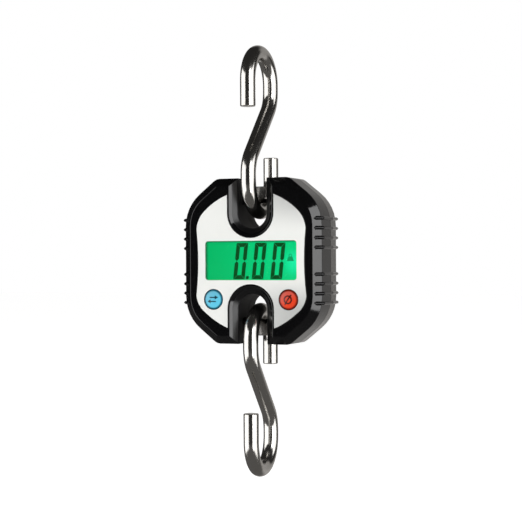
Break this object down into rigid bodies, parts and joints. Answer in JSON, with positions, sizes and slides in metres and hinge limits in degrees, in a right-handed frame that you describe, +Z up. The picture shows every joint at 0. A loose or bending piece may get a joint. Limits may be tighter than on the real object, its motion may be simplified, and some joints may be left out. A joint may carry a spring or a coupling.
{
  "type": "digital hanging fish scale",
  "caption": "Pocket hanging scale: black case with a green back-lit display and push buttons, hung from a steel S-hook, with another S-hook below for the load.",
  "frame": {"origin": "centre of the whole scale's box, which is the middle of the case", "axes": "+Z up along the line of pull through both hooks, -Y out of the display, +X to the right of someone reading the display"},
  "size_m": [0.0796, 0.04, 0.2282],
  "materials": {
    "case_black": "glossy moulded ABS",
    "label_white": "satin silver-white printed overlay",
    "clear_plastic": "clear polished plastic",
    "lcd_green": "back-lit green display glass",
    "light_guide": "frosted light guide",
    "rubber_grey": "conductive elastomer",
    "board_green": "solder-masked fibreglass board",
    "chip_black": "moulded epoxy",
    "spring_steel": "bright plated",
    "polished_steel": "polished stainless steel",
    "gauge_foil": "foil on film",
    "battery_wrap": "plain printed sleeve, no marks",
    "wire_red": "plastic insulation",
    "wire_black": "plastic insulation",
    "wire_grey": "plastic insulation",
    "button_blue": "translucent blue plastic",
    "button_red": "translucent orange-red plastic"
  },
  "bodies": {
    "upper_hook": {"upper_hook": "polished_steel"},
    "case": {"front_case": "case_black", "rear_case": "case_black", "front_label": "label_white", "lcd_window": "clear_plastic", "lcd_glass": "lcd_green", "backlight_panel": "light_guide", "zebra_connector": "rubber_grey", "main_board": "board_green", "controller_chip": "chip_black", "converter_chip": "chip_black", "clock_crystal": "spring_steel", "board_screw_left": "spring_steel", "board_screw_right": "spring_steel", "load_cell": "polished_steel", "strain_gauge_left": "gauge_foil", "strain_gauge_right": "gauge_foil", "load_cell_screw_left": "spring_steel", "load_cell_screw_right": "spring_steel", "gauge_lead": "wire_grey", "battery_wire_red": "wire_red", "battery_wire_black": "wire_black", "battery_1": "battery_wrap", "battery_2": "battery_wrap", "battery_spring_1": "spring_steel", "battery_spring_2": "spring_steel", "bridge_contact": "spring_steel", "positive_contact": "spring_steel", "negative_contact": "spring_steel", "case_screw_1": "spring_steel", "case_screw_2": "spring_steel", "case_screw_3": "spring_steel", "case_screw_4": "spring_steel", "unit_switch_body": "spring_steel", "tare_switch_body": "spring_steel"},
    "lower_hook": {"lower_hook": "polished_steel"},
    "battery_door": {"battery_door": "case_black"},
    "unit_button": {"unit_button": "button_blue", "unit_switch_plunger": "chip_black"},
    "tare_button": {"tare_button": "button_red", "tare_switch_plunger": "chip_black"}
  },
  "joints": [
    {"name": "case_swing", "type": "hinge", "parent": "upper_hook", "child": "case", "pos_m": [0, 0, 0.0421], "axis": [1, 0, 0], "range_deg": [-90, 90]},
    {"name": "lower_hook_swing", "type": "hinge", "parent": "case", "child": "lower_hook", "pos_m": [0, 0, -0.0421], "axis": [0.9986, 0.0523, 0], "range_deg": [-90, 90]},
    {"name": "battery_door_hinge", "type": "hinge", "parent": "case", "child": "battery_door", "pos_m": [-0.0289, 0.0137, 0], "axis": [0, 0, 1], "range_deg": [0, 75]},
    {"name": "unit_button_press", "type": "slide", "parent": "case", "child": "unit_button", "axis": [0, 1, 0], "range_m": [0, 0.0005], "stiffness_N_per_m": 600, "springref_m": -0.0005},
    {"name": "tare_button_press", "type": "slide", "parent": "case", "child": "tare_button", "axis": [0, 1, 0], "range_m": [0, 0.0005], "stiffness_N_per_m": 600, "springref_m": -0.0005}
  ]
}
